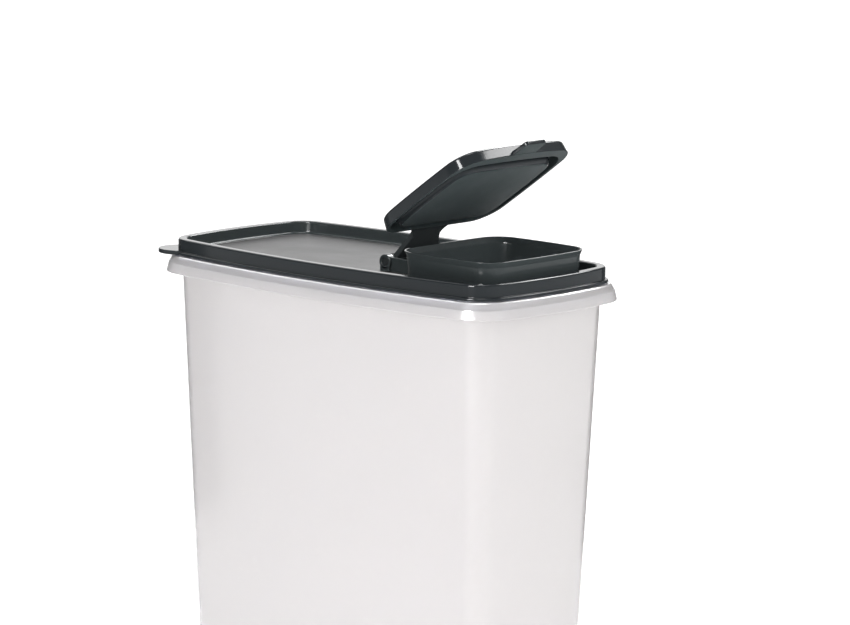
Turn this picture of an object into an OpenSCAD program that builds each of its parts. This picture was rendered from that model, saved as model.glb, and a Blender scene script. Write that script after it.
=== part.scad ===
// Cereal container: a tub, a press-on seal with a pour spout, and a flip cap hinged on the seal.
// Millimetres. Origin at the centre of the base, +Z up, +X towards the spout end.

/* [Seal] */
// Length of the seal over its rim
seal_l = 240; // [216:1:264]
// Width of the seal over its rim
seal_w = 120; // [108:1:132]
// Corner radius of the seal's outline
corner_r = 16.5; // [14:0.5:19]
// Bow of the short ends from corner to middle
bow_end = 7.2; // [5:0.2:9]
// Bow of the long sides from corner to middle
bow_side = 9.1; // [6:0.2:11]
// Height of the seal's outer wall
seal_h = 8.4; // [7.6:0.1:9.2]
// Depth of the recessed panel below the rim
panel_drop = 6.6; // [5.8:0.1:6.8]
// Thickness of the seal's outer wall
seal_wall = 1.6; // [1.4:0.05:1.8]
// Reach of the lip at the foot of the outer wall
lip_out = 1.6; // [1.2:0.1:2]
// Width of the pull tab at the corner
pull_w = 24; // [20:1:28]
// Reach of the pull tab beyond the corner's centre line
pull_l = 18; // [16:0.5:20]

/* [Tub] */
// Height from the base to the top of the seal's rim
total_h = 250; // [225:1:275]
// Inward slope of each side wall
draft = 0.04; // [0.03:0.005:0.05]
// Thickness of the tub's wall
tub_wall = 1.6; // [1.4:0.05:1.8]
// Thickness of the tub's rim
rim_wall = 1.3; // [1.2:0.05:1.5]
// Radius round the base's edge
base_r = 6; // [5:0.5:7]
// Reach of the skirt beyond the seal's outline
skirt_out = 6.3; // [5.6:0.1:7]
// Height of the skirt
skirt_h = 6.6; // [5.8:0.1:7.4]

/* [Spout] */
// Distance from the centre to the collar on its hinge side
spout_x = 41.8; // [40:0.2:44]
// Length of the collar
spout_l = 69.5; // [66:0.5:70]
// Width of the collar
spout_w = 83; // [76:1:88]
// Height of the collar above the rim
spout_h = 9.5; // [8.5:0.1:10.5]
// Thickness of the collar
spout_wall = 1.3; // [1.2:0.05:1.5]

/* [Cap] */
// Reach of the cap past the collar at its free end
cap_reach = 8.2; // [7:0.2:9]
// Thickness of the cap's plate
cap_plate = 1.5; // [1.3:0.05:1.8]
// Height of the cap over its skirt
cap_h = 6.7; // [6:0.1:7.4]
// Length of the thumb tab
thumb_l = 10.5; // [9:0.5:12]
// Width of the thumb tab at its tip
thumb_w = 16; // [14:1:18]
// Angle between the closed cap and its resting place
open_deg = 35; // [30:1:40]

/* [Hinge] */
// Distance from the centre to the hinge's axis
hinge_x = 17.6; // [15:0.2:19]
// Diameter of the barrel
barrel_d = 8; // [7.2:0.1:8.4]
// Diameter of the pins
pin_d = 4; // [3.6:0.1:4.4]
// Width across the barrel
barrel_w = 32.6; // [29:0.2:36]
// Width of each ear
ear_w = 4.7; // [4.2:0.1:5.2]

/* [Fits] */
// Clearance round the pins
pin_gap = 0.05; // [0.03:0.01:0.08]
// Clearance between the pieces
gap = 0.4; // [0.35:0.05:0.5]

/* [Hidden] */
lid_plan = [-seal_l / 2, seal_l / 2, seal_w / 2, bow_end, bow_end, bow_side];
spout_plan = [spout_x, spout_x + spout_l, spout_w / 2, 1, 2, 2];
spout_r = 14;
cap_plan = [spout_x - 1.6, spout_x + spout_l + cap_reach, spout_w / 2 + 2.5, 0.3, 3.8, 1.6];
hollow_plan = [spout_x - gap, cap_plan[1] - 2, spout_w / 2 + 0.9, 0.3, 3.8, 1.6];
cap_r = 14.5;
cap_top = spout_h + 0.5 + cap_plate;
cap_low = cap_top - cap_h;
neck_in = seal_wall + 0.5;
rim_in = neck_in + rim_wall;
well_in = rim_in + gap;
roof_t = 1.5;
panel_t = 1.5;
hinge_z = -1.6;
boss_d = barrel_d + 0.2;
ear_y = barrel_w / 2 + gap;
shoulder = -seal_h - 3.4;
base_in = neck_in + draft * (total_h - seal_h);
foot_in = base_in + base_r;

// Where two circles meet, on the +Y side
function meet(c, r, d, s) =
    let (l = norm(d - c), a = (r * r - s * s + l * l) / (2 * l), h = sqrt(max(r * r - a * a, 0)))
    let (e = (d - c) / l, n = [-e.y, e.x], p = c + e * a + n * h, q = c + e * a - n * h)
    p.y > q.y ? p : q;

function bearing(p, c) = atan2(p.y - c.y, p.x - c.x);
function arc(c, r, a, b, k) = [for (i = [0:k - 1]) let (t = a + (b - a) * i / k) c + r * [cos(t), sin(t)]];

// Outline with bowed sides: p = [x low, x high, half width, bow low, bow high, bow of the sides],
// o = outward offset, r = corner radius, k = steps on an end, a corner and a side
function outline(p, o, r, k) =
    let (m = (p[0] + p[1]) / 2, l = (p[1] - p[0]) / 2)
    let (rl = (p[2] ^ 2 + p[3] ^ 2) / (2 * p[3]), rh = (p[2] ^ 2 + p[4] ^ 2) / (2 * p[4]))
    let (rs = (l ^ 2 + p[5] ^ 2) / (2 * p[5]))
    let (cl = [p[0] + rl, 0], ch = [p[1] - rh, 0], cs = [m, p[2] - rs])
    let (fh = meet(ch, rh + o - r, cs, rs + o - r), fl = meet(cl, rl + o - r, cs, rs + o - r))
    let (ah = bearing(fh, ch), sh = bearing(fh, cs), sl = bearing(fl, cs), al = bearing(fl, cl))
    let (half = concat(
        arc(ch, rh + o, 0, ah, k[0]),
        arc(fh, r, ah, sh, k[1]),
        arc(cs, rs + o, sh, sl, k[2]),
        arc(fl, r, sl, al, k[1]),
        arc(cl, rl + o, al, 180, k[0])
    ))
    let (n = len(half))
    concat(half, [cl - [rl + o, 0]], [for (i = [n - 1:-1:1]) [half[i].x, -half[i].y]]);

function raise(pts, z) = [for (q = pts) [q.x, q.y, z]];
function lid_ring(o, z) = raise(outline(lid_plan, o, corner_r + o, [4, 8, 10]), z);
function tub_ring(in, r, z) = raise(outline(lid_plan, -in, r, [4, 8, 10]), z);
function spout_ring(o, z) = raise(outline(spout_plan, o, spout_r + o, [3, 7, 5]), z);
function cap_ring(p, o, r, z) = raise(outline(p, o, r, [4, 8, 6]), z);

// Skin of triangles over rings of equally many points
function skin(m, n, wrap) = [
    for (i = [0:m - (wrap ? 1 : 2)]) for (j = [0:n - 1])
        let (a = i * n + j, b = i * n + (j + 1) % n, c = ((i + 1) % m) * n + j, d = ((i + 1) % m) * n + (j + 1) % n)
        each [[a, c, d], [a, d, b]]
];

module loft(rings) {
    n = len(rings[0]);
    m = len(rings);
    ends = [[for (j = [0:n - 1]) j], [for (j = [n - 1:-1:0]) (m - 1) * n + j]];
    polyhedron(points = [for (g = rings) each g], faces = concat(ends, skin(m, n, false)));
}

module tube(rings) {
    polyhedron(points = [for (g = rings) each g], faces = skin(len(rings), len(rings[0]), true));
}

module slab(pts, z, h) {
    translate([0, 0, z])
        linear_extrude(h)
            polygon(pts);
}

// Wall inset and corner radius of the tub at a height below the rim
function wall_in(z) = neck_in + draft * (-seal_h - z);
function wall_r(z) = corner_r - neck_in + 1.5 * z / total_h;

module tub() {
    low = base_r - total_h;
    foot = [for (t = [0:18:90]) [foot_in - base_r * sin(t), wall_r(low) - base_r * (1 - sin(t)), low - base_r * cos(t)]];
    in_r = base_r - tub_wall;
    in_foot = [for (t = [90:-22.5:0]) [foot_in - in_r * sin(t), wall_r(low) - tub_wall - in_r * (1 - sin(t)), low - in_r * cos(t)]];
    top = -roof_t - gap;
    under = shoulder - 1.7;
    tip = shoulder - skirt_h;
    color([0.9, 0.9, 0.92])
        translate([0, 0, total_h])
            loft([
                for (f = foot) tub_ring(f[0], f[1], f[2]),
                tub_ring(wall_in(under), wall_r(under), under),
                lid_ring(skirt_out * 0.3, under),
                lid_ring(skirt_out - 1.3, tip + 0.3),
                lid_ring(skirt_out - 0.9, tip),
                lid_ring(skirt_out - 0.3, tip),
                lid_ring(skirt_out, tip + 0.4),
                lid_ring(skirt_out * 0.5, shoulder - 0.9),
                lid_ring(skirt_out * 0.36, shoulder - 0.2),
                lid_ring(skirt_out * 0.1, shoulder),
                lid_ring(-neck_in, shoulder + 0.5),
                lid_ring(-neck_in, top - 0.4),
                lid_ring(-neck_in - 0.4, top),
                lid_ring(0.4 - rim_in, top),
                lid_ring(-rim_in, top - 0.4),
                lid_ring(-rim_in, shoulder + 0.5),
                tub_ring(wall_in(under) + tub_wall, wall_r(under) - tub_wall, under - 2),
                for (f = in_foot) tub_ring(f[0], f[1], f[2])
            ]);
}

// Rounded pull tab standing out from the lip at one corner
module pull_tab() {
    d = [cos(215), sin(215)];
    n = [-d.y, d.x];
    root = [-seal_l / 2 + 11, -seal_w / 2 + 18];
    tongue = [for (t = [-90:10:90]) root + d * (pull_l - 13 * (1 - cos(t))) + n * pull_w / 2 * sin(t)];
    difference() {
        slab(concat([root - n * pull_w / 2], tongue, [root + n * pull_w / 2]), 0.1 - seal_h, 1.3);
        slab(outline(lid_plan, -seal_wall / 2, corner_r - seal_wall / 2, [4, 8, 10]), -seal_h - 1, 4);
    }
}

// Ear with a bore for one of the cap's pins, and a web back to the collar
module ear() {
    low = -panel_drop - 0.8;
    wall_x = spout_x + 1.2 + spout_wall / 2;
    difference() {
        union() {
            translate([hinge_x, ear_y + ear_w, hinge_z])
                rotate([90, 0, 0])
                    cylinder(d = boss_d, h = ear_w, $fn = 48);
            translate([hinge_x - boss_d * 0.42, ear_y, low])
                cube([boss_d * 0.84, ear_w, hinge_z - low]);
            translate([0, ear_y + ear_w * 0.72, 0])
                rotate([90, 0, 0])
                    linear_extrude(ear_w * 0.44)
                        polygon([[hinge_x, low], [wall_x, low], [wall_x, 0.5], [hinge_x + 1, hinge_z + boss_d * 0.4]]);
        }
        translate([hinge_x, ear_y + ear_w + 1, hinge_z])
            rotate([90, 0, 0])
                cylinder(d = pin_d + 2 * pin_gap, h = ear_w + 2, $fn = 48);
    }
}

module seal_body() {
    low = -panel_drop - panel_t;
    top_in = well_in + 1.05;
    loft([
        lid_ring(-well_in, low),
        lid_ring(-well_in, -roof_t),
        lid_ring(-seal_wall, -roof_t),
        lid_ring(-seal_wall, -seal_h),
        lid_ring(lip_out - 0.3, -seal_h),
        lid_ring(lip_out, 0.3 - seal_h),
        lid_ring(lip_out, 1.2 - seal_h),
        lid_ring(lip_out - 0.3, 1.5 - seal_h),
        lid_ring(0.3, 1.6 - seal_h),
        lid_ring(0, 1.9 - seal_h),
        lid_ring(0, -1.1),
        lid_ring(-0.32, -0.32),
        lid_ring(-1.1, 0),
        lid_ring(0.8 - top_in, 0),
        lid_ring(0.2 - top_in, -0.25),
        lid_ring(-top_in, -0.9),
        lid_ring(-top_in, 1 - panel_drop),
        lid_ring(-top_in - 0.3, 0.3 - panel_drop),
        lid_ring(-top_in - 1, -panel_drop)
    ]);
}

module seal() {
    foot = -panel_drop - panel_t - 1.4;
    mid = -1.2 - spout_wall / 2;
    color([0.07, 0.08, 0.08])
        translate([0, 0, total_h]) {
            difference() {
                seal_body();
                slab(outline(spout_plan, mid, spout_r + mid, [3, 7, 5]), foot - 1, panel_drop);
            }
            tube([
                spout_ring(-1.2, foot),
                spout_ring(-1.2, spout_h - 3),
                spout_ring(-0.9, spout_h - 1.6),
                spout_ring(-0.1, spout_h - 0.4),
                spout_ring(-0.3, spout_h),
                spout_ring(-0.9, spout_h),
                spout_ring(-0.9 - spout_wall * 0.9, spout_h - 1.6),
                spout_ring(-1.2 - spout_wall, spout_h - 3),
                spout_ring(-1.2 - spout_wall, foot)
            ]);
            ear();
            mirror([0, 1, 0])
                ear();
            pull_tab();
        }
}

// Half width of the neck from the barrel (t = 0) to the cap's skirt (t = 1)
function neck_half(t) =
    let (u = min(max((t - 0.15) / 0.65, 0), 1), v = max(t - 0.8, 0) / 0.2)
    barrel_w / 2 - 0.3 - barrel_w * 0.15 * u * u * (3 - 2 * u) + 4 * v * v;

module neck() {
    end = cap_plan[0] + 0.6;
    side = [for (t = [0:0.05:1]) [hinge_x + (end - hinge_x) * t, neck_half(t)]];
    back = [for (i = [len(side) - 1:-1:0]) [side[i].x, -side[i].y]];
    intersection() {
        slab(concat(side, back), hinge_z - barrel_d, cap_top - hinge_z + barrel_d);
        translate([0, barrel_w, 0])
            rotate([90, 0, 0])
                linear_extrude(barrel_w * 2)
                    polygon([
                        [hinge_x - 1, hinge_z - 1.2],
                        [hinge_x + 4, hinge_z - 1],
                        [end + 1, cap_low + 0.2],
                        [end + 1, cap_low + 3],
                        [hinge_x + 3, hinge_z + 1.9],
                        [hinge_x - 1, hinge_z + 1.5]
                    ]);
    }
}

module cap_body() {
    edge = 1.6;
    under = cap_top - cap_plate;
    loft([
        cap_ring(hollow_plan, -0.6, cap_r - 2.2, under),
        cap_ring(hollow_plan, -0.1, cap_r - 1.7, under - 0.2),
        cap_ring(hollow_plan, 0, cap_r - 1.6, under - 0.7),
        cap_ring(hollow_plan, 0, cap_r - 1.6, cap_low),
        cap_ring(cap_plan, 0.2, cap_r + 0.2, cap_low),
        cap_ring(cap_plan, 0.4, cap_r + 0.4, cap_low + 0.3),
        for (t = [0:22.5:90])
            let (b = edge * (1 - cos(t)), p = [cap_plan[0] + b, cap_plan[1], cap_plan[2], 0.3, 3.8, 1.6])
            cap_ring(p, -b, cap_r - b, cap_top - edge + edge * sin(t))
    ]);
}

module thumb_tab() {
    start = cap_plan[1] - 1;
    tip = cap_plan[1] + thumb_l;
    half = thumb_w / 2;
    side = [for (t = [0:0.1:1]) [start + (tip - 2 - start) * t, half + 4.5 * (1 - t) ^ 2]];
    nose = [for (t = [15:15:75]) [tip - 2 + 2 * sin(t), half - 2 + 2 * cos(t)]];
    edge = concat(side, nose, [[tip, half - 2]]);
    slab(concat([for (i = [len(edge) - 1:-1:0]) edge[i]], [for (q = edge) [q.x, -q.y]]), cap_low + 0.2, 1.8);
}

module flip_cap() {
    color([0.07, 0.08, 0.08])
        translate([hinge_x, 0, total_h + hinge_z])
            rotate([0, -open_deg, 0])
                translate([-hinge_x, 0, -hinge_z]) {
                    cap_body();
                    thumb_tab();
                    neck();
                    translate([hinge_x, barrel_w / 2, hinge_z])
                        rotate([90, 0, 0])
                            cylinder(d = barrel_d, h = barrel_w, $fn = 48);
                    translate([hinge_x, ear_y + ear_w - 0.2, hinge_z])
                        rotate([90, 0, 0])
                            cylinder(d = pin_d, h = 2 * (ear_y + ear_w - 0.2), $fn = 48);
                }
}

tub();
seal();
flip_cap();
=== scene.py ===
"""Cereal container with a flip spout: frosted tub, glossy black seal and flip cap."""
from math import acos, atan2, cos, pi, radians, sin, sqrt, tan

import bmesh
import bpy
from mathutils import Euler, Matrix, Vector

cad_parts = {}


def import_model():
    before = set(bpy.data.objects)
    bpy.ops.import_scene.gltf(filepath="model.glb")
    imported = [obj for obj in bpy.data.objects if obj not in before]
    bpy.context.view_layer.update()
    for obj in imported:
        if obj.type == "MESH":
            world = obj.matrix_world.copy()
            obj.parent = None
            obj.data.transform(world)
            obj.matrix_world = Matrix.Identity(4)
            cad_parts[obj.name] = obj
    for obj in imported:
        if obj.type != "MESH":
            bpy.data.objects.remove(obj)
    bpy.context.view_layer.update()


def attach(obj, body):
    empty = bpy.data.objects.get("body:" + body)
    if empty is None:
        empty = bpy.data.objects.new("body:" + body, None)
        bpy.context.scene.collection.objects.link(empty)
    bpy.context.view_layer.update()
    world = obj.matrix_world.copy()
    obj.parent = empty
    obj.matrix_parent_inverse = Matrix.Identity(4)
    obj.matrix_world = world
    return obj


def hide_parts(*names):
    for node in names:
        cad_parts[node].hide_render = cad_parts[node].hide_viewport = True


MM = 0.001

# ---------------------------------------------------------------- sizes, in mm
# Heights are counted from the top of the seal's rim, offsets outwards from the rim's outline.
RIM_TOP = 250
SEAL_LONG, SEAL_WIDE = 240, 120
CORNER_R = 16.5
BOW_END, BOW_SIDE = 7.2, 9.1
SEAL_TALL = 8.4
SEAL_WALL = 1.6
LIP_OUT, LIP_TALL = 1.6, 1.5
ROOF = 1.5
CHANNEL_WALL = 1.05
PANEL_DROP = 6.6
PANEL_THICK = 1.5
GAP = 0.4

TUB_WALL = 1.6
RIM_WALL = 1.3
DRAFT = 0.04
BASE_R = 6
# How much larger the corner radius is at the tub's foot than at its shoulder
FOOT_ROUNDER = 8.2
SKIRT_OUT = 6.3
SKIRT_TALL = 6.6
SKIRT_ROOT = 1.8
LEDGE_UP = 1.9
NECK_IN = SEAL_WALL + 0.5
RIM_IN = NECK_IN + RIM_WALL
WELL_IN = RIM_IN + GAP
SHOULDER = -SEAL_TALL - 3.4

SPOUT_X, SPOUT_LONG, SPOUT_WIDE = 41.8, 69.5, 83
SPOUT_TALL = 9.5
SPOUT_WALL = 1.3
SPOUT_R = 14
# The collar's wall stands in by the stem from its outline, by the foot more at the panel, and
# reaches a little below the panel
SPOUT_STEM, SPOUT_FOOT = 1.2, 1.1
SPOUT_BELOW = 1.4

CAP_R = 14.5
CAP_PLATE = 1.5
CAP_TALL = 6.7
CAP_TOP = SPOUT_TALL + 0.5 + CAP_PLATE
CAP_LOW = CAP_TOP - CAP_TALL
PLUG_BELOW, PLUG_EDGE = 1.0, 3.6
THUMB_LONG, THUMB_WIDE, THUMB_THICK = 10.6, 16, 2.3
OPEN_ANGLE = radians(35)

HINGE_X, HINGE_Z = 17.6, -1.6
BARREL_D, BARREL_WIDE = 8, 32.6
PIN_D, PIN_GAP = 4, 0.05
EAR_WIDE = 4.7
EAR_Y = BARREL_WIDE / 2 + GAP
EAR_SUNK = 0.8
BOSS_D = BARREL_D + 0.2

PULL_WIDE, PULL_LONG, PULL_THICK = 24, 18, 2.3
# The tab's rounding takes up the nose, and its root is this far in from the seal's corner
PULL_NOSE = 13
PULL_ROOT = (11, 18)
PULL_ANGLE = radians(215)

# Outline plans: x low, x high, half width, bow of the low end, bow of the high end, bow of the sides
SEAL_PLAN = (-SEAL_LONG / 2, SEAL_LONG / 2, SEAL_WIDE / 2, BOW_END, BOW_END, BOW_SIDE)
SPOUT_PLAN = (SPOUT_X, SPOUT_X + SPOUT_LONG, SPOUT_WIDE / 2, 1, 2, 2)
CAP_PLAN = (SPOUT_X - 1.6, SPOUT_X + SPOUT_LONG + 8.2, SPOUT_WIDE / 2 + 2.5, 0.3, 3.8, 1.6)
HOLLOW_PLAN = (SPOUT_X - GAP, SPOUT_X + SPOUT_LONG + 1.4, SPOUT_WIDE / 2 + 0.9, 0.3, 2, 1.6)
PLUG_PLAN = (SPOUT_X + 3.6, SPOUT_X + SPOUT_LONG - 2.9, SPOUT_WIDE / 2 - 3.2, 0.3, 2, 1.6)
PLUG_R = SPOUT_R - 3.2
HOLLOW_R = SPOUT_R + 0.9

# Steps along half an end, a corner and a side of an outline, and round a turned piece
END_STEPS, CORNER_STEPS, SIDE_STEPS = 10, 14, 20
TURN_STEPS = 64
# Edges above the first angle are rounded, and those above the second keep a hard shading
ROUNDED_ABOVE, SHARP_ABOVE = radians(35), radians(50)


# ---------------------------------------------------------------- outlines and profiles
def meet(centre, radius, other, reach):
    """Where two circles meet, on the +Y side."""
    span = other - centre
    along = (radius**2 - reach**2 + span.length**2) / (2 * span.length)
    across = sqrt(max(radius**2 - along**2, 0))
    step = span.normalized()
    side = Vector((-step.y, step.x))
    crossings = (centre + step * along + side * across, centre + step * along - side * across)
    return max(crossings, key=lambda p: p.y)


def arc(centre, radius, start, end, steps):
    """Points on an arc, without its last one."""
    turns = [start + (end - start) * i / steps for i in range(steps)]
    return [centre + Vector((cos(t), sin(t))) * radius for t in turns]


def bearing(point, centre):
    """Angle of a point seen from a centre."""
    return atan2(point.y - centre.y, point.x - centre.x)


def outline(plan, offset, radius):
    """Rounded oblong with bowed sides, moved outwards by an offset, with corners of a radius."""
    low, high, half, bow_low, bow_high, bow_side = plan
    reach = (high - low) / 2
    r_low, r_high = ((half**2 + b**2) / (2 * b) for b in (bow_low, bow_high))
    r_side = (reach**2 + bow_side**2) / (2 * bow_side)
    c_low, c_high = Vector((low + r_low, 0)), Vector((high - r_high, 0))
    c_side = Vector(((low + high) / 2, half - r_side))
    f_high = meet(c_high, r_high + offset - radius, c_side, r_side + offset - radius)
    f_low = meet(c_low, r_low + offset - radius, c_side, r_side + offset - radius)
    a_high, s_high = bearing(f_high, c_high), bearing(f_high, c_side)
    s_low, a_low = bearing(f_low, c_side), bearing(f_low, c_low)
    upper = arc(c_high, r_high + offset, 0, a_high, END_STEPS)
    upper += arc(f_high, radius, a_high, s_high, CORNER_STEPS)
    upper += arc(c_side, r_side + offset, s_high, s_low, SIDE_STEPS)
    upper += arc(f_low, radius, s_low, a_low, CORNER_STEPS)
    upper += arc(c_low, r_low + offset, a_low, pi, END_STEPS)
    tip = c_low - Vector((r_low + offset, 0))
    return upper + [tip] + [Vector((p.x, -p.y)) for p in reversed(upper[1:])]


def rounded(corners, steps=6):
    """Profile through (offset, height, radius) corners, each rounded to its radius."""
    points = [Vector(c[:2]) for c in corners]
    line = [points[0]]
    for i in range(1, len(points) - 1):
        radius = corners[i][2]
        back = (points[i - 1] - points[i]).normalized()
        ahead = (points[i + 1] - points[i]).normalized()
        half = acos(max(-1, min(1, back.dot(ahead)))) / 2
        cut = radius / tan(half)
        centre = points[i] + (back + ahead).normalized() * (radius / sin(half))
        first, last = points[i] + back * cut - centre, points[i] + ahead * cut - centre
        sweep = first.angle_signed(last)
        line += [centre + Matrix.Rotation(-sweep * k / steps, 2) @ first for k in range(steps + 1)]
    return line + [points[-1]]


# ---------------------------------------------------------------- mesh helpers
def ring(bm, points, height):
    """Closed loop of edges at one height."""
    verts = [bm.verts.new((p.x, p.y, height)) for p in points]
    return [bm.edges.new(pair) for pair in zip(verts, verts[1:] + verts[:1])]


def skin(bm, rings):
    """Bridges each ring to the next, held apart meanwhile so that rings of one height can't twist."""
    apart = 10
    heights = [{v: v.co.z for e in edges for v in e.verts} for edges in rings]
    for level, verts in enumerate(heights):
        for vert in verts:
            vert.co.z = apart * level
    for low, high in zip(rings, rings[1:]):
        bmesh.ops.bridge_loops(bm, edges=low + high)
    for verts in heights:
        for vert, height in verts.items():
            vert.co.z = height


def plan_rings(bm, plan, radius, profile):
    """One ring of an outline for each (offset, height) of a profile."""
    return [ring(bm, outline(plan, p.x, radius + p.x), p.y) for p in profile]


def turned(bm, profile, centre, axis_turn):
    """Solid of revolution: (radius, along) points spun about Z, then turned and moved to a centre."""
    verts = [bm.verts.new((r, 0, h)) for r, h in profile]
    edges = [bm.edges.new(pair) for pair in zip(verts, verts[1:])]
    bmesh.ops.spin(
        bm, geom=verts + edges, axis=(0, 0, 1), cent=(0, 0, 0), angle=2 * pi, steps=TURN_STEPS,
        use_merge=True,
    )
    bmesh.ops.transform(bm, matrix=Matrix.Translation(centre) @ axis_turn, verts=bm.verts)


def slab(bm, points, low, high):
    """Straight solid over a flat outline."""
    face = bm.faces.new([bm.verts.new((x, y, low)) for x, y in points])
    grown = bmesh.ops.extrude_face_region(bm, geom=[face])["geom"]
    top = [v for v in grown if isinstance(v, bmesh.types.BMVert)]
    bmesh.ops.translate(bm, verts=top, vec=(0, 0, high - low))


def soften(bm, width, segments=3):
    """Rounds every sharp edge by a width."""
    bmesh.ops.recalc_face_normals(bm, faces=bm.faces)
    edges = [e for e in bm.edges if len(e.link_faces) == 2 and e.calc_face_angle(0) > ROUNDED_ABOVE]
    bmesh.ops.bevel(
        bm, geom=edges, offset=width, offset_type="OFFSET", segments=segments,
        profile=0.5, affect="EDGES", clamp_overlap=True, material=-1,
    )


def is_field(face):
    """Filled flat faces, which aren't four-sided, while nearly all of the rounded skin is."""
    return face.loop_total != 4


def faces_hollow(face):
    """Faces of the opened cap that look into its hollow, or down beside it, where shade falls: these
    take the lighter matt copy.
    """
    return face.normal.dot(HOLLOW_FOCUS - face.center) > 0


def piece(name, bm, body, material, place, field=None, where=is_field, inner=None):
    """Finished object in metres: field is the finish of the faces that `where` picks, inner the
    material of those that were given the third material beforehand, which in the seal is a lighter copy
    of the black plastic painted to lift their shade."""
    bmesh.ops.remove_doubles(bm, verts=bm.verts, dist=1e-4)
    bmesh.ops.transform(bm, matrix=place, verts=bm.verts)
    bmesh.ops.scale(bm, vec=(MM, MM, MM), verts=bm.verts)
    bmesh.ops.recalc_face_normals(bm, faces=bm.faces)
    if bm.calc_volume(signed=True) < 0:
        bmesh.ops.reverse_faces(bm, faces=bm.faces)
    mesh = bpy.data.meshes.new(name)
    bm.to_mesh(mesh)
    bm.free()
    mesh.materials.append(material)
    mesh.materials.append(field or material)
    mesh.materials.append(inner or material)
    obj = bpy.data.objects.new(name, mesh)
    bpy.context.scene.collection.objects.link(obj)
    for face in mesh.polygons:
        face.use_smooth = not is_field(face)
        if where(face):
            face.material_index = 1
    mesh.set_sharp_from_angle(angle=SHARP_ABOVE)
    obj.modifiers.new("flat walls", "WEIGHTED_NORMAL").keep_sharp = True
    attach(obj, body)
    return obj


# Places: up to the rim, a turned piece laid along Y, and the cap opened about its hinge
LIFT = Matrix.Translation((0, 0, RIM_TOP))
ALONG_Y = Euler((pi / 2, 0, 0)).to_matrix().to_4x4()
HINGE = Matrix.Translation((HINGE_X, 0, HINGE_Z))
OPENED = LIFT @ HINGE @ Matrix.Rotation(-OPEN_ANGLE, 4, "Y") @ HINGE.inverted()
# A point in front of the opened cap's hollow
FOCUS_BELOW = 15
HOLLOW_FOCUS = OPENED @ Vector((SPOUT_X + SPOUT_LONG / 2, 0, CAP_LOW - FOCUS_BELOW)) * MM


# ---------------------------------------------------------------- materials
def set_inputs(shader, values):
    """Sets a node's inputs by name, with _ in place of a space."""
    for name, value in values.items():
        shader.inputs[name.replace("_", " ")].default_value = value


def node(tree, kind, **values):
    """A shader node with its inputs set by name."""
    made = tree.nodes.new(kind)
    set_inputs(made, values)
    return made


WAVE_OVER_GRAIN = 6.0


def moulding_group():
    """Fine unevenness of a moulded surface: a height for Bump and a spread of roughness."""
    group = bpy.data.node_groups.new("moulded surface", "ShaderNodeTree")
    for name, value in (("Grain", 900.0), ("Wave", 22.0), ("Smoothest", 0.1), ("Roughest", 0.2)):
        socket = group.interface.new_socket(name, in_out="INPUT", socket_type="NodeSocketFloat")
        socket.default_value = value
    for name in ("Height", "Roughness"):
        group.interface.new_socket(name, in_out="OUTPUT", socket_type="NodeSocketFloat")
    ins, outs = group.nodes.new("NodeGroupInput"), group.nodes.new("NodeGroupOutput")
    where = group.nodes.new("ShaderNodeTexCoord")
    grain, wave = (node(group, "ShaderNodeTexNoise", Detail=3.0) for _ in range(2))
    for noise, scale in ((grain, "Grain"), (wave, "Wave")):
        group.links.new(where.outputs["Object"], noise.inputs["Vector"])
        group.links.new(ins.outputs[scale], noise.inputs["Scale"])
    spread = node(group, "ShaderNodeMapRange", From_Min=0.3, From_Max=0.7)
    group.links.new(wave.outputs["Fac"], spread.inputs["Value"])
    group.links.new(ins.outputs["Smoothest"], spread.inputs["To Min"])
    group.links.new(ins.outputs["Roughest"], spread.inputs["To Max"])
    height = group.nodes.new("ShaderNodeMath")
    height.operation = "MULTIPLY_ADD"
    height.inputs[1].default_value = WAVE_OVER_GRAIN
    group.links.new(wave.outputs["Fac"], height.inputs[0])
    group.links.new(grain.outputs["Fac"], height.inputs[2])
    group.links.new(height.outputs[0], outs.inputs["Height"])
    group.links.new(spread.outputs["Result"], outs.inputs["Roughness"])
    return group


MOULDED = moulding_group()


def plastic(name, colour, grain, wave, roughness, bump, **shader_values):
    """Moulded plastic: plain colour with the shared surface unevenness.

    grain and wave are noise scales, roughness is (smoothest, roughest), and shader_values are
    inputs of the shader itself."""
    material = bpy.data.materials.new(name)
    material.use_nodes = True
    tree = material.node_tree
    shader = tree.nodes["Principled BSDF"]
    set_inputs(shader, {"Base Color": (*colour, 1), **shader_values})
    surface = tree.nodes.new("ShaderNodeGroup")
    surface.node_tree = MOULDED
    smoothest, roughest = roughness
    set_inputs(surface, {"Grain": grain, "Wave": wave, "Smoothest": smoothest, "Roughest": roughest})
    dents = node(tree, "ShaderNodeBump", Strength=bump, Distance=0.0002)
    tree.links.new(surface.outputs["Height"], dents.inputs["Height"])
    tree.links.new(dents.outputs["Normal"], shader.inputs["Normal"])
    tree.links.new(surface.outputs["Roughness"], shader.inputs["Roughness"])
    return material


def frosted_plastic():
    """Tub: milky, half clear, with a smoother skin and a faint blue in its thickness."""
    material = plastic(
        "frosted polypropylene", (0.92, 0.89, 0.87), grain=1400.0, wave=18.0, roughness=(0.20, 0.26),
        bump=0.03, Transmission_Weight=0.62, IOR=1.49, Coat_Weight=0.4, Coat_Roughness=0.07,
    )
    tree = material.node_tree
    absorb = node(tree, "ShaderNodeVolumeAbsorption", Color=(0.50, 0.55, 0.66, 1), Density=160.0)
    tree.links.new(absorb.outputs["Volume"], tree.nodes["Material Output"].inputs["Volume"])
    return material


def black_plastic():
    """Outside of the seal and of the cap."""
    return plastic(
        "black gloss plastic", (0.019, 0.023, 0.026), grain=700.0, wave=30.0,
        roughness=(0.08, 0.13), bump=0.03, IOR=1.25,
    )


def shade_lifted_black_plastic():
    """Inside of the rim, the collar and the ears: the black gloss plastic with a lighter base colour,
    painted light that lifts the shade on these faces.
    """
    return plastic(
        "black gloss plastic lightened in shade", (0.052, 0.062, 0.064), grain=700.0, wave=30.0,
        roughness=(0.10, 0.16), bump=0.03, IOR=1.25,
    )


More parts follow.
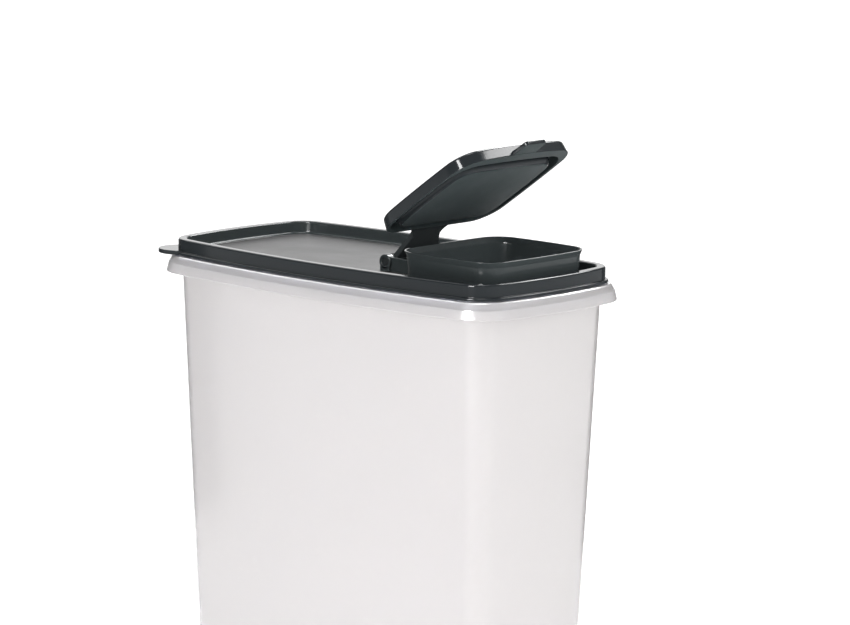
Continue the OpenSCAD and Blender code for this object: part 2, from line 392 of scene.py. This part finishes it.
def satin_plastic():
    """Recessed panel."""
    return plastic(
        "black satin plastic", (0.036, 0.036, 0.037), grain=1100.0, wave=40.0,
        roughness=(0.42, 0.50), bump=0.25, IOR=1.5,
    )


def dull_shade_lifted_plastic():
    """Neck and barrel: rough with hardly any gloss, and a base colour lighter than the black gloss's,
    painted light that lifts their shade under the cap.
    """
    return plastic(
        "black dull plastic lightened in shade", (0.044, 0.050, 0.052), grain=900.0, wave=40.0,
        roughness=(0.60, 0.70), bump=0.15, IOR=1.05,
    )


def matt_shade_lifted_plastic():
    """Underside of the cap and of its thumb tab: rough and matt, with a base colour lighter than the
    black gloss's, painted light that lifts the shade in the cap's hollow.
    """
    return plastic(
        "black matt plastic lightened in shade", (0.041, 0.053, 0.055), grain=900.0, wave=40.0,
        roughness=(0.56, 0.66), bump=0.15, IOR=1.2,
    )


# ---------------------------------------------------------------- tub
def wall_in(height):
    """How far inside the rim's outline the tub's outer face is."""
    return NECK_IN + DRAFT * (-SEAL_TALL - height)


def tub_corner(offset, height):
    """Corner radius: it follows the rim's outline, and is rounder towards the foot."""
    sinking = max(0, SHOULDER - height) / (RIM_TOP + SHOULDER)
    return CORNER_R + offset + FOOT_ROUNDER * sinking


def make_tub(material):
    """One profile: under the base, up the wall, over skirt, ledge and neck, and down inside."""
    ledge, under = SHOULDER + LEDGE_UP, SHOULDER - SKIRT_ROOT
    tip = SHOULDER - SKIRT_TALL + 0.2
    under_neck = under - 3
    foot_in, floor = wall_in(-RIM_TOP), -RIM_TOP + TUB_WALL
    profile = rounded([
        (-foot_in - BASE_R, -RIM_TOP, 0),
        (-foot_in, -RIM_TOP, BASE_R - 0.3),
        (-wall_in(under), under, 1.0),
        (SKIRT_OUT * 0.3, under, 0.8),
        (SKIRT_OUT - 1.5, tip, 0.3),
        (SKIRT_OUT + 0.3, tip, 0.8),
        (SKIRT_OUT * 0.84, SHOULDER - 1.0, 0.6),
        (SKIRT_OUT * 0.55, ledge + 0.35, 0.25),
        (SKIRT_OUT * 0.44, ledge + 0.9, 0.25),
        (-NECK_IN, ledge + 1.1, 0.2),
        (-NECK_IN, -ROOF - GAP, 0.5),
        (-RIM_IN, -ROOF - GAP, 0.5),
        (-RIM_IN, SHOULDER, 4.0),
        (-wall_in(under_neck) - TUB_WALL, under_neck, 4.0),
        (-foot_in - TUB_WALL, floor, BASE_R - TUB_WALL),
        (-foot_in - BASE_R, floor, 0),
    ])
    bm = bmesh.new()
    rings = [ring(bm, outline(SEAL_PLAN, p.x, tub_corner(p.x, p.y)), p.y) for p in profile]
    skin(bm, rings)
    bmesh.ops.edgeloop_fill(bm, edges=rings[0])
    bmesh.ops.edgeloop_fill(bm, edges=rings[-1])
    tub = piece("tub_shell", bm, "tub", material, LIFT)
    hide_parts("tub")


# ---------------------------------------------------------------- seal
def make_seal(material, field, inner):
    """Rim channel, recessed panel and pour collar in one skin."""
    under = -PANEL_DROP - PANEL_THICK
    collar_foot = under - SPOUT_BELOW
    well = -WELL_IN - CHANNEL_WALL
    rim = rounded([
        (well - 2, under, 0),
        (-WELL_IN, under, 0.3),
        (-WELL_IN, -ROOF, 0.3),
        (-SEAL_WALL, -ROOF, 0.3),
        (-SEAL_WALL, -SEAL_TALL, 0.25),
        (LIP_OUT, -SEAL_TALL, 0.4),
        (LIP_OUT, LIP_TALL - SEAL_TALL, 0.7),
        (0, LIP_TALL + 0.1 - SEAL_TALL, 0.25),
        (0, 0, 1.0),
        (well, 0, 0.9),
        (well, -PANEL_DROP, 1.2),
        (well - 3, -PANEL_DROP, 0),
    ])
    stem = -SPOUT_STEM
    foot = stem - SPOUT_FOOT
    collar = rounded([
        (stem + 0.6, -PANEL_DROP, 0),
        (foot, -PANEL_DROP, 0.9),
        (stem, SPOUT_TALL - 3, 3.0),
        (0.05, SPOUT_TALL, 0.2),
        (-1.0, SPOUT_TALL, 0.25),
        (stem - SPOUT_WALL, SPOUT_TALL - 3, 2.0),
        (foot - SPOUT_WALL, collar_foot, 0.3),
        (foot, collar_foot, 0.3),
        (foot, under, 0.3),
        (stem + 0.6, under, 0),
    ])
    bm = bmesh.new()
    rims = plan_rings(bm, SEAL_PLAN, CORNER_R, rim)
    collars = plan_rings(bm, SPOUT_PLAN, SPOUT_R, collar)
    inner_rings = 12  # those from the middle of the top's inner edge down to the panel
    skin(bm, rims[:1 - inner_rings])
    outside = set(bm.faces)
    skin(bm, rims[-inner_rings:])
    skin(bm, collars)
    # Faces inside the rim and the collar take the third material, a lighter copy of the black plastic
    # painted to lift their shade.
    for face in bm.faces:
        face.material_index = 0 if face in outside else 2
    bmesh.ops.triangle_fill(bm, edges=rims[-1] + collars[0], use_beauty=True, use_dissolve=False)
    bmesh.ops.triangle_fill(bm, edges=rims[0] + collars[-1], use_beauty=True, use_dissolve=False)
    seal = piece("seal_shell", bm, "seal", material, LIFT, field, inner=inner)
    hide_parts("seal")


def make_ear(name, side, material):
    """Boss with the pin's bore, its foot on the panel, and a web back to the collar."""
    bore, boss = PIN_D / 2 + PIN_GAP, BOSS_D / 2
    lead, soft = 0.3, 0.5
    bm = bmesh.new()
    turned(bm, [
        (bore, lead), (bore + lead, 0),
        (boss - soft, 0), (boss - soft * 0.3, soft * 0.3), (boss, soft),
        (boss, EAR_WIDE - soft), (boss - soft * 0.3, EAR_WIDE - soft * 0.3), (boss - soft, EAR_WIDE),
        (bore + lead, EAR_WIDE), (bore, EAR_WIDE - lead), (bore, lead),
    ], (HINGE_X, EAR_Y + EAR_WIDE, HINGE_Z), ALONG_Y)
    low = -PANEL_DROP - EAR_SUNK
    foot = bmesh.new()
    half = boss * 0.84
    near, far = EAR_Y, EAR_Y + EAR_WIDE
    left, right = HINGE_X - half, HINGE_X + half
    slab(foot, [(left, near), (right, near), (right, far), (left, far)], low, HINGE_Z - bore - 0.25)
    soften(foot, 0.35)
    join(bm, foot)
    web = bmesh.new()
    start_x, wall_x = HINGE_X + bore + 0.6, SPOUT_X + SPOUT_STEM + SPOUT_WALL / 2
    middle, thick = EAR_Y + EAR_WIDE * 0.5, EAR_WIDE * 0.44
    side_view = [(start_x, low), (wall_x, low), (wall_x, 0.5), (start_x, HINGE_Z + boss * 0.7)]
    slab(web, side_view, -thick / 2, thick / 2)
    bmesh.ops.transform(web, matrix=Matrix.Translation((0, middle, 0)) @ ALONG_Y, verts=web.verts)
    soften(web, 0.4)
    join(bm, web)
    mirror = Matrix.Diagonal((1, side, 1, 1))
    piece(name, bm, "seal", material, LIFT @ mirror)


def join(bm, other):
    """Moves another bmesh's solid into this one."""
    mesh = bpy.data.meshes.new("part")
    other.to_mesh(mesh)
    other.free()
    bm.from_mesh(mesh)
    bpy.data.meshes.remove(mesh)


def make_pull_tab(material):
    """Rounded tongue at one corner, rooted inside the seal's wall."""
    reach = Vector((cos(PULL_ANGLE), sin(PULL_ANGLE)))
    across = Vector((-reach.y, reach.x))
    root = Vector((-SEAL_LONG / 2 + PULL_ROOT[0], -SEAL_WIDE / 2 + PULL_ROOT[1]))
    half = PULL_WIDE / 2

    def ahead(point):
        return (point - root).dot(reach)

    def aside(point):
        return (point - root).dot(across)

    turns = [radians(t) for t in range(-90, 91, 6)]
    lengths = [PULL_LONG - PULL_NOSE * (1 - cos(t)) for t in turns]
    tongue = [root + reach * along + across * half * sin(t) for t, along in zip(turns, lengths)]
    beyond = [p for p in tongue if ahead(p) > PULL_LONG - PULL_NOSE]
    wall_middle = outline(SEAL_PLAN, -SEAL_WALL / 2, CORNER_R - SEAL_WALL / 2)
    inside = [p for p in wall_middle if ahead(p) > 0 and abs(aside(p)) < half - 0.2]
    inside.sort(key=aside, reverse=True)
    bm = bmesh.new()
    slab(bm, [tuple(p) for p in beyond + inside], -SEAL_TALL, PULL_THICK - SEAL_TALL)
    soften(bm, 0.35, 4)
    piece("pull_tab", bm, "seal", material, LIFT)


# ---------------------------------------------------------------- flip cap
def make_cap(material, field):
    """Plate with its skirt all round and a filled plug for the collar, opened about the hinge."""
    under = CAP_TOP - CAP_PLATE
    plug_low = CAP_LOW - PLUG_BELOW
    bm = bmesh.new()
    plug = rounded([(-6, plug_low, 0), (-0.3, plug_low, PLUG_EDGE), (0, under - 0.1, 0)], 8)
    rings = plan_rings(bm, PLUG_PLAN, PLUG_R, plug)
    inner = rounded([(-0.6, under, 0), (0, under, 0.3), (0, CAP_LOW + 0.3, 0)])
    rings += plan_rings(bm, HOLLOW_PLAN, HOLLOW_R, inner)
    lower_edge = rounded([(0, CAP_LOW + 0.3, 0), (0, CAP_LOW, 0.25), (0.4, CAP_LOW, 0)], 4)
    rings += plan_rings(bm, HOLLOW_PLAN, HOLLOW_R, lower_edge[1:])
    outer = rounded([(-0.4, CAP_LOW, 0), (0.4, CAP_LOW, 0.35), (0, CAP_TOP, 1.6), (-3, CAP_TOP, 0)], 8)
    for p in outer:
        inset = max(0, -p.x) if p.y > under else 0
        rise = (p.y - CAP_LOW) / CAP_TALL
        plan = (CAP_PLAN[0] + inset + rise, *CAP_PLAN[1:])
        rings.append(ring(bm, outline(plan, p.x, CAP_R + p.x), p.y))
    skin(bm, rings)
    bmesh.ops.edgeloop_fill(bm, edges=rings[0])
    bmesh.ops.edgeloop_fill(bm, edges=rings[-1])
    cap = piece("cap_shell", bm, "cap", material, OPENED, field, faces_hollow)
    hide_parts("flip_cap")


def make_thumb_tab(material, field):
    """Tab beyond the cap's free end, with hollow flanks and two round corners."""
    start, tip, half = CAP_PLAN[1] - 1, CAP_PLAN[1] + THUMB_LONG, THUMB_WIDE / 2
    corner, flare, steps = 2, 1.2, 12
    straight = tip - corner - start
    shares = range(steps + 1)
    flank = [(start + straight * t / steps, half + flare * (1 - t / steps) ** 2) for t in shares]
    turns = [radians(t) for t in range(15, 91, 15)]
    nose = [(tip - corner + corner * sin(t), half - corner + corner * cos(t)) for t in turns]
    edge = flank + nose
    low = CAP_LOW + 0.2
    bm = bmesh.new()
    slab(bm, edge + [(x, -y) for x, y in reversed(edge)], low, low + THUMB_THICK)
    soften(bm, 0.5, 4)
    piece("thumb_tab", bm, "cap", material, OPENED, field, faces_hollow)


def neck_half(t):
    """Half width of the neck from the barrel (0) to the cap's skirt (1): it narrows, then flares."""
    taper, flare_from = 9.5, 0.66
    flare = max(t - flare_from, 0) / (1 - flare_from)
    return BARREL_WIDE / 2 - 0.2 - taper * min(t - 0.12, 0.6) + taper * flare * flare


def make_neck(material):
    """Tongue from the barrel up to the cap's skirt."""
    end, steps = CAP_PLAN[0] + 0.6, 24
    shares = range(3, steps + 1)
    stations = [(HINGE_X + (end - HINGE_X) * t / steps, neck_half(t / steps)) for t in shares]
    bm = bmesh.new()
    slab(bm, stations + [(x, -y) for x, y in reversed(stations)], 0, 1)
    foot_low, foot_high = (HINGE_X + 4, HINGE_Z - 0.5), (HINGE_X + 3, HINGE_Z + 2.3)
    slope_low = (CAP_LOW + 2.4 - foot_low[1]) / (end + 1 - foot_low[0])
    slope_high = (CAP_LOW + 5.2 - foot_high[1]) / (end + 1 - foot_high[0])
    for vert in bm.verts:
        on_top = vert.co.z > 0.5
        base, slope = (foot_high, slope_high) if on_top else (foot_low, slope_low)
        vert.co.z = base[1] + (vert.co.x - base[0]) * slope
    soften(bm, 0.5, 4)
    piece("cap_neck", bm, "cap", material, OPENED)


def make_barrel(material):
    """Barrel between the ears, with the two pivot pins in one piece."""
    barrel, pin = BARREL_D / 2, PIN_D / 2
    reach, half = EAR_Y + EAR_WIDE - 0.2, BARREL_WIDE / 2
    side = [(0, reach), (pin - 0.3, reach), (pin - 0.08, reach - 0.08), (pin, reach - 0.3), (pin, half),
            (barrel - 0.4, half), (barrel - 0.1, half - 0.1), (barrel, half - 0.4)]
    bm = bmesh.new()
    turned(bm, side + [(r, -h) for r, h in reversed(side)], (HINGE_X, 0, HINGE_Z), ALONG_Y)
    piece("cap_barrel", bm, "cap", material, OPENED)


# ---------------------------------------------------------------- stage
CAMERA_YAW, CAMERA_PITCH, CAMERA_ROLL = radians(42.97), radians(9.463), radians(0.661)
CAMERA_PLACE = (1.6297, -1.7200, 0.6117)
CAMERA_LENS = 188.79
FLOOR_HALF = 30
BRIGHT_SIDE = (0.985, -0.174, 0)
CARD_TALL = 0.5


def make_camera():
    """Long lens aimed from a place, pitched down and rolled a little."""
    camera = bpy.data.cameras.new("camera")
    camera.sensor_width = 36
    camera.lens = CAMERA_LENS
    camera.clip_end = 50
    obj = bpy.data.objects.new("camera", camera)
    aim = Euler((pi / 2 - CAMERA_PITCH, 0, CAMERA_YAW)).to_matrix().to_4x4()
    obj.matrix_world = Matrix.Translation(CAMERA_PLACE) @ aim @ Matrix.Rotation(CAMERA_ROLL, 4, "Z")
    bpy.context.scene.collection.objects.link(obj)
    bpy.context.scene.camera = obj


def plain_object(name, bm, finish, **shader_values):
    """Plain object that isn't part of the container, with a finish of its own."""
    mesh = bpy.data.meshes.new(name)
    bm.to_mesh(mesh)
    bm.free()
    material = bpy.data.materials.new(finish)
    material.use_nodes = True
    set_inputs(material.node_tree.nodes["Principled BSDF"], shader_values)
    mesh.materials.append(material)
    obj = bpy.data.objects.new(name, mesh)
    bpy.context.scene.collection.objects.link(obj)
    return obj


def make_floor():
    """Ground that glows a little, so that it renders as plain white."""
    bm = bmesh.new()
    bmesh.ops.create_grid(bm, x_segments=1, y_segments=1, size=FLOOR_HALF)
    floor = plain_object(
        "floor", bm, "pale floor", Base_Color=(0.93, 0.93, 0.93, 1), Roughness=0.9,
        Specular_IOR_Level=0, Emission_Color=(1, 1, 1, 1), Emission_Strength=0.70,
    )


def panel_light(name, place, target, size, power, gloss=True, fill=True):
    """Area light in metres and watts. Without gloss nothing mirrors it, without fill it lights
    nothing but mirrors."""
    light = bpy.data.lights.new(name, "AREA")
    light.shape = "RECTANGLE"
    light.size, light.size_y = size
    light.energy = power
    obj = bpy.data.objects.new(name, light)
    obj.location = place
    obj.rotation_euler = (Vector(target) - Vector(place)).to_track_quat("-Z", "Y").to_euler()
    obj.visible_camera = False
    obj.visible_diffuse = obj.visible_transmission = fill
    obj.visible_glossy = gloss
    bpy.context.scene.collection.objects.link(obj)


def make_world():
    """White studio, a little brighter on the side that the short end faces."""
    world = bpy.data.worlds.new("white studio")
    world.use_nodes = True
    tree = world.node_tree
    where = tree.nodes.new("ShaderNodeTexCoord")
    side = tree.nodes.new("ShaderNodeVectorMath")
    side.operation = "DOT_PRODUCT"
    side.inputs[1].default_value = BRIGHT_SIDE
    spread = node(tree, "ShaderNodeMapRange", From_Min=-1.0, From_Max=1.0, To_Min=0.35, To_Max=0.68)
    tree.links.new(where.outputs["Generated"], side.inputs[0])
    tree.links.new(side.outputs["Value"], spread.inputs["Value"])
    tree.links.new(spread.outputs["Result"], tree.nodes["Background"].inputs["Strength"])
    tree.nodes["Background"].inputs["Color"].default_value = (1, 1, 1, 1)
    bpy.context.scene.world = world


def make_lights():
    """Two fills for the walls, boxes that only draw highlights, and a top box that does both."""
    bpy.context.scene.view_settings.view_transform = "Standard"
    panel_light("short side fill", (2.3, 0.35, 1.15), (0, 0, 0.2), (1.2, 1.2), 16, gloss=False)
    panel_light("long side fill", (-0.2, -2.3, 1.15), (0, 0, 0.2), (1.2, 1.2), 9.5, gloss=False)
    panel_light("front box", (0.29, -1.15, 0.65), (0.29, 0, 0.65), (0.38, 0.92), 68, fill=False)
    panel_light("back box", (-1.15, 1.21, 0.75), (0, 0, 0.3), (1.7, 1.2), 8, fill=False)
    panel_light("right box", (0.56, 0.79, 1.13), (0.1, 0, 0.31), (0.5, 0.2), 7, fill=False)
    panel_light("edge box", (-0.15, 0.92, 1.15), (0.1, 0, 0.25), (0.6, 0.4), 20, fill=False)
    panel_light("left box", (-1.15, 0, 1.5), (0, -0.06, 0.24), (0.4, 0.8), 6, fill=False)
    panel_light("corner box", (0.1, 0, 1.7), (0.1, -0.03, 0.24), (0.5, 0.5), 9, fill=False)
    panel_light("top box", (-0.15, 0.15, 1.7), (0, 0, 0.25), (0.9, 0.9), 9)


def make_card(name, place, width):
    """Grey card that faces the tub from beside it, hidden from the camera, and darkens its outline."""
    bm = bmesh.new()
    bmesh.ops.create_grid(bm, x_segments=1, y_segments=1, size=0.5)
    aim = Vector((-place[0], -place[1], 0)).to_track_quat("Z", "Y").to_matrix().to_4x4()
    bmesh.ops.scale(bm, vec=(width, CARD_TALL, 1), verts=bm.verts)
    bmesh.ops.transform(bm, matrix=Matrix.Translation((*place, CARD_TALL / 2)) @ aim, verts=bm.verts)
    card = plain_object(name, bm, "grey card", Base_Color=(0.12, 0.12, 0.12, 1), Roughness=1)
    card.visible_camera = False


def main():
    """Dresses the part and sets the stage."""
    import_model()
    # soft is the black gloss plastic with a lighter base colour, painted light that lifts the shade
    # inside the rim and collar and on the ears.
    frosted, black, soft = frosted_plastic(), black_plastic(), shade_lifted_black_plastic()
    # matt and dull are also copies of the black plastic with lighter base colours: painted light that
    # lifts the shade under the cap and on its neck and barrel.
    satin, matt, dull = satin_plastic(), matt_shade_lifted_plastic(), dull_shade_lifted_plastic()
    make_tub(frosted)
    make_seal(black, satin, soft)
    make_ear("ear_front", -1, soft)
    make_ear("ear_rear", 1, soft)
    make_pull_tab(black)
    make_cap(black, matt)
    make_thumb_tab(black, matt)
    make_neck(dull)
    make_barrel(dull)
    make_camera()
    make_floor()
    make_world()
    make_lights()
    make_card("left_card", (-0.47, -0.08), 0.40)
    make_card("right_card", (0.08, 0.42), 0.30)


main()
